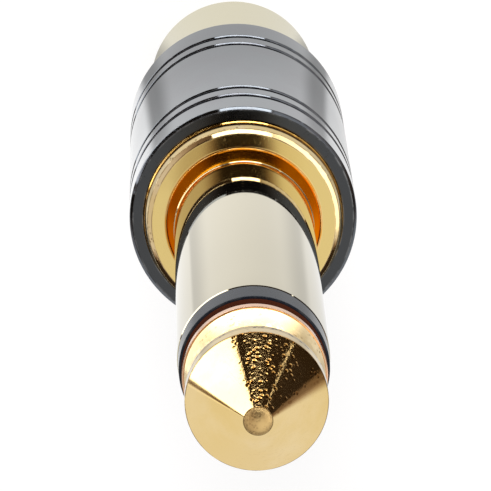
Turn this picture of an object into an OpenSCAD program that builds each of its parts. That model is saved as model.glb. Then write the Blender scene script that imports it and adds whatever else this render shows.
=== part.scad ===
// Adapter that carries a two-pole 6.35 mm jack plug at one end and a phono socket at the other.
// It stands on the open end of the socket. The origin is the centre of that end, and +Z runs
// along the turned axis to the nose of the plug. Lengths stack up from the socket to the nose.

/* [Plug sleeve] */
// Diameter of the straight part of the plug
sleeve_d = 6.35; // [6.3:0.01:6.4]
// Length of the straight part, from the hub to its front edge
sleeve_len = 21.6; // [19:0.2:24]
// Bevel round the front edge of the sleeve
sleeve_bevel = 0.08; // [0.05:0.01:0.15]
// Bore that runs through the sleeve for the rod and its liner
sleeve_bore_d = 3.8; // [3.6:0.1:4.2]
// Diameter of the counterbore behind the front edge, which takes the tip ring
socket_d = 4.9; // [4.6:0.1:5.2]
// Depth of that counterbore
socket_len = 4.5; // [3:0.25:6]

/* [Hub and flange] */
// Length of the coned hub between the flange and the straight sleeve
hub_len = 1.2; // [0.8:0.1:2]
// Step from the straight sleeve up to the front of the hub, on the radius
hub_step = 0.03; // [0.02:0.01:0.1]
// How much the hub widens from its front to the flange, on the radius
hub_flare = 0.31; // [0.15:0.01:0.35]
// Fillet between the hub and the flange
hub_fillet = 0.1; // [0.05:0.01:0.15]
// Height of the flange face above the mouth of the shell
flange_rise = 1; // [0.8:0.05:1.6]
// Bevel round the edge of the flange, on the radius
flange_bevel = 0.21; // [0.1:0.01:0.3]
// Height of that bevel
flange_bevel_h = 0.14; // [0.1:0.01:0.2]
// Steeper bevel below that one, on the radius
flange_ease = 0.11; // [0.05:0.01:0.15]
// Height of the steeper bevel
flange_ease_h = 0.3; // [0.2:0.02:0.36]
// Bevelled step from the body up to the flange, on the radius
lip_bevel = 0.05; // [0.03:0.01:0.15]
// Length of the body that is held in the mouth of the shell
body_len = 7.5; // [6.5:0.25:8]
// Bevel round the inner end of the body
body_bevel = 0.08; // [0.04:0.01:0.09]

/* [Tip] */
// Diameter of the cone at its base
tip_d = 5.83; // [5.6:0.01:5.95]
// Length of the cone
cone_len = 2.81; // [2.4:0.01:3.2]
// Diameter of the flat on the nose
nose_d = 1.18; // [1.16:0.01:1.4]
// Length of the plain band behind the cone
land_len = 0.94; // [0.5:0.02:1.2]
// Rounding of the edge between the cone and that band
tip_edge = 0.06; // [0.03:0.01:0.12]
// Length of the short slope from the band down to the waist
back_len = 1; // [0.7:0.05:1.3]
// Diameter of the waist that the spring of a jack drops into
waist_d = 4.7; // [4.4:0.05:5]
// Radius of the hollow at the bottom of the waist
waist_hollow = 0.4; // [0.2:0.05:0.6]
// Length of the long slope from the waist up to the rim
slope_len = 1.65; // [1.3:0.05:2]
// Diameter of the rim at the back of the tip
rim_d = 6; // [5.9:0.02:6.2]
// Width of the rim
rim_len = 0.5; // [0.3:0.02:0.7]
// Ledge between the rim and the slope, on the radius
rim_step = 0.06; // [0.03:0.01:0.1]

/* [Rod] */
// Diameter of the centre rod
rod_d = 2.2; // [2:0.05:2.4]
// Diameter of the thinned front end that passes through the nose
tenon_d = 1; // [0.9:0.05:1.05]
// Depth below the nose flat at which the rod thins down
tenon_len = 2.2; // [1.8:0.1:3]
// Height of the peened button on the nose
button_h = 0.25; // [0.15:0.05:0.3]
// Diameter of that button
button_d = 1.14; // [1.1:0.01:1.18]
// Diameter of the riveted head at the other end
rivet_d = 3.2; // [2.8:0.1:3.4]
// Height of that head
rivet_h = 0.7; // [0.4:0.05:0.9]
// How much of the height of each of these heads is domed
head_crown = 0.8; // [0.5:0.05:0.9]

/* [Insulation] */
// Diameter of the ring between the tip and the sleeve, at the sleeve
ring_d = 6.3; // [6.2:0.01:6.34]
// Moulding draft of the ring, on the radius at the tip
ring_draft = 0.03; // [0.01:0.01:0.06]
// Length of the ring that shows
ring_len = 1.5; // [1.2:0.05:2.4]
// Rounding of the edges of the ring
ring_edge = 0.05; // [0.02:0.01:0.1]
// Diameter of the neck of the ring, where the tip sits on it
neck_d = 5.2; // [5:0.05:5.4]
// Length of that neck
neck_len = 0.65; // [0.2:0.05:0.8]
// Wall of the tube round the rod
liner_wall = 0.7; // [0.5:0.05:0.75]
// Diameter of the washer behind the body
bush_d = 6.4; // [6:0.1:7]
// Thickness of that washer
bush_thick = 1.1; // [0.8:0.1:1.4]
// Length of the spigot that keys it into the body
bush_spigot = 2; // [1:0.25:3]

/* [Shell] */
// Diameter of the shell
shell_d = 10.4; // [10.2:0.05:11]
// Length of the shell
shell_len = 18.7; // [17.5:0.1:21]
// Wall at the mouth of the shell
mouth_wall = 0.64; // [0.5:0.02:0.75]
// Step inside the shell that stops the body, on the radius
seat_step = 0.15; // [0.12:0.01:0.25]
// Thickness of the inward lip that holds the collar of the barrel
lip_thick = 1.4; // [1:0.1:1.8]
// Bevel round the front edge of the shell
mouth_bevel = 0.14; // [0.08:0.01:0.25]
// Rounding of the rear edge of the shell
rear_round = 0.8; // [0.4:0.05:0.9]
// Width of each groove round the shell
groove_w = 0.5; // [0.3:0.02:0.6]
// Depth of each groove
groove_deep = 0.18; // [0.1:0.01:0.2]
// Spacing of the two grooves in a pair
groove_pitch = 1.63; // [1.2:0.05:2.2]
// Distance from the mouth of the shell to the first groove of the front pair
front_pair_at = 2.5; // [1.5:0.1:3.5]
// Distance from the rear end of the shell to the first groove of the rear pair
rear_pair_at = 3.65; // [1.8:0.05:4.5]

/* [Phono socket] */
// Diameter of the barrel that a phono plug's skirt grips
barrel_d = 8.3; // [8.2:0.05:8.5]
// Length of the barrel below the shell
barrel_len = 9.6; // [8:0.2:11]
// Taper of the stretch that wedges in the lip of the shell, on the radius
barrel_taper = 0.05; // [0.02:0.01:0.08]
// Wall of the barrel
barrel_wall = 0.75; // [0.6:0.05:0.9]
// Bevel round the outer edge of the mouth
barrel_bevel = 0.2; // [0.1:0.05:0.3]
// Bevel round the inner edge of the mouth
barrel_inner_bevel = 0.15; // [0.1:0.05:0.25]
// Thickness of the collar inside the shell
collar_thick = 1.6; // [1.2:0.1:2.2]
// Ledge inside the barrel that stops the insert, on the radius
ledge = 0.5; // [0.3:0.05:0.8]
// Thickness of that ledge
ledge_thick = 1.4; // [1:0.1:2]
// Depth of the insert's face below the rim of the barrel
recess = 0.4; // [0.2:0.05:1]
// Length of the insert's tail behind the ledge
tail_len = 0.6; // [0.3:0.1:1]
// Bore of the centre contact, for a 3.2 mm pin
contact_bore_d = 3.2; // [3.1:0.02:3.3]
// Wall of the centre contact
contact_wall = 0.4; // [0.3:0.05:0.5]
// Depth of the bore of the centre contact
contact_depth = 9; // [7:0.25:9.5]
// Thickness of the insert's front wall, which keeps the contact in
front_wall = 1; // [0.6:0.1:1.6]
// How much wider than the contact's bore the hole in the front wall is, on the radius
entry_gap = 0.2; // [0.16:0.01:0.28]
// Width of the lead-in cone round that hole
entry_cone = 0.5; // [0.2:0.05:0.6]
// Number of slots that split the contact into springs
slot_count = 4; // [2:1:4]
// Width of each slot
slot_w = 0.35; // [0.25:0.05:0.45]
// Length of each slot
slot_len = 6; // [4:0.25:6.5]
// Width of the contact's collar behind the insert, on the radius
contact_collar = 0.5; // [0.3:0.05:0.6]
// Thickness of that collar
contact_collar_thick = 0.6; // [0.4:0.05:1]

/* [Soldered link] */
// Diameter of the wire between the contact and the rod
wire_d = 0.8; // [0.6:0.05:0.9]
// Radius of the bend in the wire, to its middle
wire_bend = 0.9; // [0.7:0.05:1.1]
// Wall of the solder cup on the contact
cup_wall = 0.4; // [0.3:0.05:0.6]
// Length of that cup
cup_len = 1.2; // [1:0.1:1.5]
// Depth to which the wire sits in the cup
cup_deep = 0.9; // [0.6:0.1:0.9]
// Thickness of the solder tag
tag_thick = 0.4; // [0.3:0.05:0.5]
// Width of the leg of the tag
tag_w = 1.8; // [1.6:0.1:2.2]
// Distance from the plate of the tag down to the wire
tag_drop = 1.5; // [1.4:0.1:1.7]
// Length of wire that stands out through the tag
wire_end = 0.5; // [0.3:0.05:0.6]

/* [Fits] */
// Gap on the radius between pieces that are pressed or screwed together
press_gap = 0.01; // [0.005:0.005:0.02]
// Gap on the radius between pieces that slide together
slip_gap = 0.03; // [0.01:0.01:0.05]

/* [Hidden] */
$fn = 96;
eps = 0.5;

gold = "#E3C983";
dark_chrome = "#6E7276";
champagne = "#E2D9BC";
black_plastic = "#1B1B1D";
white_plastic = "#E8E6DF";
tinned = "#C9CBCC";

// Levels along the axis, from the mouth of the socket up
shell_rear = barrel_len;
shell_front = shell_rear + shell_len;
flange_top = shell_front + flange_rise;
hub_top = flange_top + hub_len;
sleeve_top = hub_top + sleeve_len;
ring_top = sleeve_top + ring_len;
tip_rear = ring_top + neck_len;
rim_top = tip_rear + rim_len;
waist_z = rim_top + slope_len;
land_rear = waist_z + back_len;
cone_base = land_rear + land_len;
nose_z = cone_base + cone_len;
body_rear = shell_front - body_len;
bush_rear = body_rear - bush_thick;
tag_rear = bush_rear - tag_thick;

// Radii that mating pieces share
mouth_r = shell_d / 2 - mouth_wall;
body_r = mouth_r - press_gap;
flange_r = body_r - lip_bevel;
seat_r = mouth_r - seat_step;
collar_r = seat_r - press_gap;
barrel_r = barrel_d / 2;
barrel_held_r = barrel_r + barrel_taper;
barrel_bore_r = barrel_r - barrel_wall;
ledge_r = barrel_bore_r - ledge;
sleeve_r = sleeve_d / 2;
hub_front_r = sleeve_r + hub_step;
hub_base_r = hub_front_r + hub_flare;
bore_r = sleeve_bore_d / 2;
rod_r = rod_d / 2;
rod_hole_r = rod_r + slip_gap;
tenon_r = tenon_d / 2;
tenon_hole_r = tenon_r + press_gap;
contact_bore_r = contact_bore_d / 2;
contact_r = contact_bore_r + contact_wall;
contact_hole_r = contact_r + slip_gap;
wire_r = wire_d / 2;
wire_hole_r = wire_r + slip_gap;

// Levels inside the socket and along the soldered link
collar_rear = shell_rear + lip_thick;
collar_top = collar_rear + collar_thick;
ledge_rear = collar_top - ledge_thick;
insert_top = collar_top + tail_len;
contact_front = recess + front_wall;
contact_bore_top = contact_front + contact_depth;
contact_collar_top = insert_top + contact_collar_thick;
cup_top = contact_collar_top + cup_len;
wire_foot = cup_top - cup_deep;
wire_level = tag_rear - tag_drop;
tag_x = rivet_d / 2 + tag_thick;
shoulder_z = nose_z - tenon_len;

// Points of an arc round (cx, cy), from angle a0 to a1 in equal steps
function arc(cx, cy, r, a0, a1, steps = 8) =
    [for (i = [0 : steps]) let (a = a0 + (a1 - a0) * i / steps) [cx + r * cos(a), cy + r * sin(a)]];

// Points of a low dome over a foot of radius r, from its edge to the crown h above it, or the
// other way up where h is below zero
function dome(r, z, h, steps = 6) =
    let (ball = (r * r + h * h) / (2 * abs(h)), widest = asin(r / ball), way = sign(h))
    [for (i = [0 : steps]) let (a = widest * (1 - i / steps))
        [i == steps ? 0 : ball * sin(a), z + h - way * ball * (1 - cos(a))]];

// Turns an outline of [radius, height] points round the axis
module turned(points) {
    rotate_extrude()
        polygon(points);
}

// Hole round the axis between two levels
module hole(r, z0, z1) {
    translate([0, 0, z0])
        cylinder(h = z1 - z0, r = r);
}

// Front of the plug: cone, plain band, hollow waist, long slope and rim
module tip() {
    tip_r = tip_d / 2;
    rim_r = rim_d / 2;
    waist_r = waist_d / 2;
    back_angle = atan2(tip_r - waist_r, back_len);
    slope_r = rim_r - rim_step;
    slope_angle = atan2(slope_r - waist_r, slope_len);
    color(gold)
        difference() {
            turned(concat(
                [[0, tip_rear], [rim_r - tip_edge, tip_rear]],
                [[rim_r, tip_rear + tip_edge], [rim_r, rim_top], [slope_r, rim_top]],
                arc(waist_r + waist_hollow, waist_z, waist_hollow, 180 + slope_angle, 180 - back_angle),
                [[tip_r, land_rear], [tip_r, cone_base - tip_edge], [tip_r - tip_edge, cone_base + tip_edge / 2]],
                [[nose_d / 2, nose_z], [0, nose_z]]
            ));
            hole(rod_hole_r, tip_rear - eps, shoulder_z);
            hole(tenon_hole_r, shoulder_z - eps, nose_z + eps);
        }
}

// Rod that joins the tip to the solder tag, peened into a button on the nose and riveted at the tag
module centre_rod() {
    button_r = button_d / 2;
    rivet_r = rivet_d / 2;
    button_crown = button_h * head_crown;
    rivet_crown = rivet_h * head_crown;
    rivet_dome = dome(rivet_r, tag_rear - rivet_h + rivet_crown, -rivet_crown);
    color(gold)
        turned(concat(
            [for (i = [len(rivet_dome) - 1 : -1 : 0]) rivet_dome[i]],
            [[rivet_r, tag_rear], [rod_r, tag_rear]],
            [[rod_r, shoulder_z], [tenon_r, shoulder_z]],
            [[tenon_r, nose_z], [button_r, nose_z]],
            dome(button_r, nose_z + button_h - button_crown, button_crown)
        ));
}

// Black ring that keeps the tip off the sleeve, with its spigot inside the sleeve
module tip_ring() {
    ring_r = ring_d / 2;
    ring_front_r = ring_r - ring_draft;
    spigot_r = socket_d / 2 - press_gap;
    spigot_end = sleeve_top - socket_len + slip_gap;
    color(black_plastic)
        difference() {
            turned([
                [0, spigot_end],
                [spigot_r, spigot_end],
                [spigot_r, sleeve_top],
                [ring_r - ring_edge, sleeve_top],
                [ring_r, sleeve_top + ring_edge],
                [ring_front_r, ring_top - ring_edge],
                [ring_front_r - ring_edge, ring_top],
                [neck_d / 2, ring_top],
                [neck_d / 2, tip_rear],
                [0, tip_rear]
            ]);
            hole(rod_hole_r, spigot_end - eps, tip_rear + eps);
        }
}

// Plain tube that keeps the rod off the inside of the sleeve
module rod_liner() {
    liner_bottom = body_rear + bush_spigot;
    liner_top = sleeve_top - socket_len;
    color(white_plastic)
        difference() {
            hole(rod_hole_r + liner_wall, liner_bottom, liner_top);
            hole(rod_hole_r, liner_bottom - eps, liner_top + eps);
        }
}

// One turned piece: straight sleeve, coned hub, bevelled flange and the body held in the shell
module sleeve() {
    color(gold)
        difference() {
            turned([
                [0, body_rear],
                [body_r - body_bevel, body_rear],
                [body_r, body_rear + body_bevel],
                [body_r, shell_front],
                [flange_r, shell_front + lip_bevel],
                [flange_r, flange_top - flange_bevel_h - flange_ease_h],
                [flange_r - flange_ease, flange_top - flange_bevel_h],
                [flange_r - flange_ease - flange_bevel, flange_top],
                [hub_base_r + hub_fillet, flange_top],
                [hub_base_r, flange_top + hub_fillet],
                [hub_front_r, hub_top - hub_step],
                [sleeve_r, hub_top],
                [sleeve_r, sleeve_top - sleeve_bevel],
                [sleeve_r - sleeve_bevel, sleeve_top],
                [0, sleeve_top]
            ]);
            hole(bore_r, body_rear - eps, sleeve_top);
            hole(socket_d / 2, sleeve_top - socket_len, sleeve_top + eps);
        }
}

// Shouldered washer that keeps the solder tag off the body
module rear_bush() {
    color(black_plastic)
        difference() {
            union() {
                hole(bush_d / 2, bush_rear, body_rear);
                hole(bore_r - slip_gap, body_rear - bush_thick / 2, body_rear + bush_spigot);
            }
            hole(rod_hole_r, bush_rear - eps, body_rear + bush_spigot + eps);
        }
}

// Bent tag under the rivet, with a leg that reaches down beside the head to take the wire
module solder_tag() {
    color(tinned)
        difference() {
            union() {
                hole(tag_x, tag_rear, bush_rear);
                translate([0, -tag_w / 2, tag_rear])
                    cube([tag_x + tag_thick, tag_w, tag_thick]);
                translate([tag_x, -tag_w / 2, wire_level])
                    cube([tag_thick, tag_w, bush_rear - wire_level]);
                translate([tag_x, 0, wire_level])
                    rotate([0, 90, 0])
                        cylinder(h = tag_thick, r = tag_w / 2);
            }
            hole(rod_hole_r, tag_rear - eps, bush_rear + eps);
            translate([tag_x - eps, 0, wire_level])
                rotate([0, 90, 0])
                    cylinder(h = tag_thick + 2 * eps, r = wire_hole_r);
        }
}

// Wire that rises from the cup, turns through a right angle and passes through the tag
module link_wire() {
    color(tinned)
        union() {
            hole(wire_r, wire_foot, wire_level - wire_bend);
            translate([wire_bend, 0, wire_level - wire_bend])
                rotate([90, 0, 0])
                    rotate([0, 0, 90])
                        rotate_extrude(angle = 90)
                            translate([wire_bend, 0])
                                circle(r = wire_r, $fn = 32);
            translate([wire_bend, 0, wire_level])
                rotate([0, 90, 0])
                    cylinder(h = tag_x + tag_thick + wire_end - wire_bend, r = wire_r);
        }
}

// Pair of square grooves round the shell, the first one at level z0
module groove_pair(z0, direction) {
    for (i = [0, 1])
        translate([0, 0, z0 + direction * i * groove_pitch - groove_w / 2])
            difference() {
                cylinder(h = groove_w, r = shell_d / 2 + eps);
                translate([0, 0, -eps])
                    cylinder(h = groove_w + 2 * eps, r = shell_d / 2 - groove_deep);
            }
}

// Outer shell, bored from the front, with an inward lip at the rear
module shell() {
    shell_r = shell_d / 2;
    color(dark_chrome)
        difference() {
            turned(concat(
                [[0, shell_rear]],
                arc(shell_r - rear_round, shell_rear + rear_round, rear_round, -90, 0),
                [[shell_r, shell_front - mouth_bevel], [shell_r - mouth_bevel, shell_front], [0, shell_front]]
            ));
            hole(mouth_r, body_rear, shell_front + eps);
            hole(seat_r, collar_rear, body_rear + eps);
            turned([
                [0, shell_rear - eps],
                [barrel_r + press_gap, shell_rear - eps],
                [barrel_r + press_gap, shell_rear],
                [barrel_held_r + press_gap, collar_rear],
                [barrel_held_r + press_gap, collar_rear + eps],
                [0, collar_rear + eps]
            ]);
            groove_pair(shell_front - front_pair_at, -1);
            groove_pair(shell_rear + rear_pair_at, 1);
        }
}

// Earth contact of the socket: a thin barrel with a collar behind the lip of the shell
module phono_barrel() {
    color(champagne)
        difference() {
            turned([
                [0, 0],
                [barrel_r - barrel_bevel, 0],
                [barrel_r, barrel_bevel],
                [barrel_r, shell_rear],
                [barrel_held_r, collar_rear],
                [collar_r, collar_rear],
                [collar_r, collar_top],
                [0, collar_top]
            ]);
            hole(barrel_bore_r, -eps, ledge_rear);
            hole(ledge_r, ledge_rear - eps, collar_top + eps);
            turned([
                [0, -eps],
                [barrel_bore_r + barrel_inner_bevel + eps, -eps],
                [barrel_bore_r, barrel_inner_bevel],
                [0, barrel_inner_bevel]
            ]);
        }
}

// Insulator in the barrel, with the entry for the pin in its front wall
module phono_insert() {
    entry_r = contact_bore_r + entry_gap;
    color(black_plastic)
        difference() {
            union() {
                hole(barrel_bore_r - press_gap, recess, ledge_rear);
                hole(ledge_r - slip_gap, recess + front_wall, insert_top);
            }
            hole(entry_r, recess - eps, contact_front + eps);
            turned([
                [0, recess - eps],
                [entry_r + entry_cone + eps, recess - eps],
                [entry_r, recess + entry_cone],
                [0, recess + entry_cone]
            ]);
            hole(contact_hole_r, contact_front, insert_top + eps);
        }
}

// Centre contact of the socket: slotted tube, collar and solder cup
module phono_contact() {
    cup_r = wire_hole_r + cup_wall;
    color(gold)
        difference() {
            union() {
                hole(contact_r, contact_front, contact_collar_top);
                hole(contact_r + contact_collar, insert_top, contact_collar_top);
                hole(cup_r, contact_collar_top - eps, cup_top);
            }
            hole(contact_bore_r, contact_front - eps, contact_bore_top);
            hole(wire_hole_r, wire_foot, cup_top + eps);
            for (i = [0 : slot_count - 1])
                rotate([0, 0, (i + 0.5) * 360 / slot_count])
                    translate([0, -slot_w / 2, contact_front - eps])
                        cube([contact_r + eps, slot_w, slot_len + eps]);
        }
}

tip();
centre_rod();
tip_ring();
rod_liner();
sleeve();
rear_bush();
solder_tag();
link_wire();
shell();
phono_barrel();
phono_insert();
phono_contact();
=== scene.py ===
"""Looks of an adapter from a jack plug to a phono socket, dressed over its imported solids.

The adapter stands on the mouth of its socket with the plug pointing up. Sizes are in millimetres
until they reach a mesh, a lamp or the camera.
"""
import logging
import math
from dataclasses import dataclass
from enum import Enum

import bpy
from mathutils import Matrix, Vector


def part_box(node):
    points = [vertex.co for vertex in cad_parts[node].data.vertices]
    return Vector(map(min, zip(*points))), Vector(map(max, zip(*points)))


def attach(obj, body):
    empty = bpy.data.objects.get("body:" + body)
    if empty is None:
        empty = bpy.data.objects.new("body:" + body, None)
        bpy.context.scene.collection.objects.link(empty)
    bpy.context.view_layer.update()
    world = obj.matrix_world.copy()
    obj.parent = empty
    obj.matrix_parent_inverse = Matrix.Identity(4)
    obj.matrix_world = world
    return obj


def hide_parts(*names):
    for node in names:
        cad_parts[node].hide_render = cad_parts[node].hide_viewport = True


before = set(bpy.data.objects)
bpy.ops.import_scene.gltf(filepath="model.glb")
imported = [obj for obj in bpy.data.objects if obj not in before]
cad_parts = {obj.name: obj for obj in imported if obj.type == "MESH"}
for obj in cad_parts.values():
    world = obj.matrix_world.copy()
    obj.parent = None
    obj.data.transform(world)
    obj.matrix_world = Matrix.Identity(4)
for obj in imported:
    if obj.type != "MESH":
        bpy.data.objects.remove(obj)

MM = 0.001
PER_MM = 1 / MM
BODY = "root"
# Straight pieces in a full turn of the lathe
SEGMENTS = 160
# Angle in degrees up to which neighbouring facets are smoothed together
SMOOTH_ANGLE = 38.0
# Distance in metres under which points are merged
MERGE_GAP = MM * 1e-4
EDGE_ATTRIBUTE = "edge"
# How far a worn edge reaches from its corner, for each millimetre of its rounding
EDGE_REACH = 1.05
# Roundings that the tools leave on an edge, in millimetres
HAIR, FINE, LIGHT, EDGE, EASED, SOFT, BROAD = 0.01, 0.015, 0.02, 0.03, 0.04, 0.05, 0.06
# How far a facet may lie from a flat face that it still counts to, in millimetres
FACE_SLACK = 0.01
# The same for the flange, whose face has rounded edges close beside it
LEVEL_SLACK = 0.001
WHITE_LIGHT = (1.0, 1.0, 1.0)
# Object normals over which the grains and the painted shade on the camera side of the tip fade, and how strong they
# are before and after
GRAIN_AND_SHADE_FRONT = (-0.36, -0.2, 1.0, 0.05)
GRAIN_AND_SHADE_RIGHT = (0.19, 0.33, 1.0, 0.04)
GRAIN_AND_SHADE_LEFT = (-0.62, -0.3, 0.5, 1.0)
log = logging.getLogger("adapter")

Point = tuple[float, float]
Colour = tuple[float, float, float]
Piece = bpy.types.Object
Port = bpy.types.NodeSocket
Ports = bpy.types.bpy_prop_collection
Node = bpy.types.Node
Tree = bpy.types.NodeTree
Material = bpy.types.Material


class Slot(Enum):
    """The record's material slots."""

    GOLD = "gold_plating"
    CHROME = "dark_chrome"
    BLACK = "black_plastic"


@dataclass(frozen=True)
class Span:
    """Where a turned node stands, in millimetres."""

    bottom: float
    top: float
    radius: float

    @staticmethod
    def of(node: str) -> "Span":
        """Returns the span of a CAD node, read from the frame."""
        low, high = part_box(node)
        return Span(low.z / MM, high.z / MM, high.x / MM)


@dataclass(frozen=True)
class Corner:
    """One corner of a turned outline, in millimetres, with the rounding that a tool leaves there."""

    radius: float
    level: float
    round: float = 0.0


@dataclass
class Outline:
    """Half section of a turned piece: corners in the plane of radius and level."""

    corners: list[Corner]
    closed: bool = True
    guard: float = 0.05
    least_guard: float = 0.002
    guard_share: float = 0.8
    room_share: float = 0.9
    straight: float = 89.0
    arc_steps: int = 4

    def points(self) -> list[Point]:
        """Returns the section's points, with an arc at each rounded corner and a guard point beside it."""
        made: list[Point] = []
        count = len(self.corners)
        for index, corner in enumerate(self.corners):
            ends = not self.closed and index in (0, count - 1)
            if ends or corner.round <= 0:
                made.append((corner.radius, corner.level))
                continue
            before = self.corners[index - 1]
            after = self.corners[(index + 1) % count]
            made += self._rounded(before, corner, after)
        return made

    def _rounded(self, before: Corner, corner: Corner, after: Corner) -> list[Point]:
        """Works out the arc at one corner.

        Args:
            before: The corner before it.
            corner: The corner to round.
            after: The corner after it.

        Returns:
            The arc's points, between two guard points.
        """
        here = Vector((corner.radius, corner.level))
        back = Vector((before.radius, before.level)) - here
        ahead = Vector((after.radius, after.level)) - here
        room = min(back.length / (2 if before.round else 1), ahead.length / (2 if after.round else 1))
        back.normalize()
        ahead.normalize()
        half = back.angle(ahead) / 2
        if half > math.radians(self.straight):
            return [(corner.radius, corner.level)]
        cut = min(corner.round / math.tan(half), room * self.room_share)
        size = cut * math.tan(half)
        middle = here + (back + ahead).normalized() * (size / math.sin(half))
        start = here + back * cut - middle
        stop = here + ahead * cut - middle
        turn = start.angle_signed(stop)
        points: list[Point] = []
        lead = min(self.guard, (room - cut) * self.guard_share)
        if lead > self.least_guard:
            points.append(tuple(here + back * (cut + lead)))
        for step in range(self.arc_steps + 1):
            spoke = start.copy()
            spoke.rotate(Matrix.Rotation(-turn * step / self.arc_steps, 2))
            points.append(tuple(middle + spoke))
        if lead > self.least_guard:
            points.append(tuple(here + ahead * (cut + lead)))
        return points


def dome(radius: float, foot: float, crown: float, steps: int = 8) -> list[Point]:
    """Works out the arc of a low dome that runs in to the axis.

    Args:
        radius: Radius of its foot.
        foot: Level of its foot.
        crown: Level of its crown, above the foot or below it.
        steps: Number of straight pieces in the arc.

    Returns:
        Its corners, from the foot to the crown.
    """
    rise = abs(crown - foot)
    ball = (radius ** 2 + rise ** 2) / (2 * rise)
    widest = math.asin(radius / ball)
    way = math.copysign(ball, crown - foot)
    angles = [widest * (1 - step / steps) for step in range(steps + 1)]
    return [(ball * math.sin(angle), crown - way + way * math.cos(angle)) for angle in angles]


def clear_selection() -> None:
    """Leaves edit mode and deselects every object."""
    if bpy.context.object and bpy.context.object.mode != "OBJECT":
        bpy.ops.object.mode_set(mode="OBJECT")
    bpy.ops.object.select_all(action="DESELECT")


def finish_piece(piece: Piece, slot: Slot, *replaced: str) -> Piece:
    """Ties a finished piece to the frame.

    Args:
        piece: The object to tie.
        slot: The record's material slot of the piece; not used.
        *replaced: CAD nodes that it stands for.

    Returns:
        The same object.
    """
    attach(piece, BODY)
    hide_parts(*replaced)
    return piece


def turn_piece(name: str, *corners: tuple[float, ...], closed: bool = True) -> Piece:
    """Turns an outline round the axis of the adapter, as on a lathe.

    Args:
        name: Name of the new piece.
        *corners: Radius, level and any rounding of each corner of its half section, in millimetres.
        closed: Whether the section closes, or else ends on the axis.

    Returns:
        The turned piece, smooth, with its place in its mesh and its rounded edges marked.
    """
    outline = Outline([Corner(*corner) for corner in corners], closed)
    points = outline.points()
    clear_selection()
    first = Vector((points[0][0] * MM, 0, points[0][1] * MM))
    bpy.ops.mesh.primitive_plane_add(size=MM, location=(0, 0, 0))
    piece = bpy.context.object
    piece.name = name
    bpy.ops.object.mode_set(mode="EDIT")
    bpy.ops.mesh.select_all(action="SELECT")
    bpy.ops.mesh.merge(type="CENTER")
    bpy.ops.transform.translate(value=first)
    for start, end in zip(points, points[1:]):
        step = Vector((end[0] - start[0], 0, end[1] - start[1])) * MM
        bpy.ops.mesh.extrude_region_move(TRANSFORM_OT_translate={"value": step})
    if outline.closed:
        close_loop(piece)
    bpy.ops.mesh.select_all(action="SELECT")
    bpy.ops.mesh.spin(steps=SEGMENTS, angle=math.tau, center=(0, 0, 0), axis=(0, 0, 1))
    bpy.ops.mesh.select_all(action="SELECT")
    bpy.ops.mesh.remove_doubles(threshold=MERGE_GAP)
    bpy.ops.mesh.normals_make_consistent(inside=False)
    bpy.ops.object.mode_set(mode="OBJECT")
    bpy.ops.object.shade_smooth_by_angle(angle=math.radians(SMOOTH_ANGLE))
    mark_edges(piece, outline)
    clear_selection()
    return piece


def close_loop(piece: Piece) -> None:
    """Joins the two ends of an open chain of edges in edit mode.

    Args:
        piece: The object whose mesh is the chain.
    """
    bpy.ops.object.mode_set(mode="OBJECT")
    joined = [0] * len(piece.data.vertices)
    for edge in piece.data.edges:
        for index in edge.vertices:
            joined[index] += 1
    for vertex in piece.data.vertices:
        vertex.select = joined[vertex.index] == 1
    bpy.ops.object.mode_set(mode="EDIT")
    bpy.ops.mesh.select_mode(type="VERT")
    bpy.ops.mesh.edge_face_add()


def mark_edges(piece: Piece, outline: Outline) -> None:
    """Writes how worn each point of a turned piece gets: 1 on a rounded outer edge, 0 elsewhere.

    Args:
        piece: The turned piece.
        outline: The outline that it was turned from.
    """
    rounded = [(Vector((c.radius, c.level)), c.round) for c in outline.corners if c.round]
    worn = []
    for vertex in piece.data.vertices:
        place = Vector((math.hypot(vertex.co.x, vertex.co.y), vertex.co.z)) / MM
        near = any((place - corner).length < size * EDGE_REACH for corner, size in rounded)
        worn.append(1.0 if near else 0.0)
    layer = piece.data.attributes.new(EDGE_ATTRIBUTE, "FLOAT", "POINT")
    layer.data.foreach_set("value", worn)


def opaque(colour: Colour) -> tuple[float, ...]:
    """Returns a colour with full alpha."""
    return (*colour, 1.0)


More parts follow.
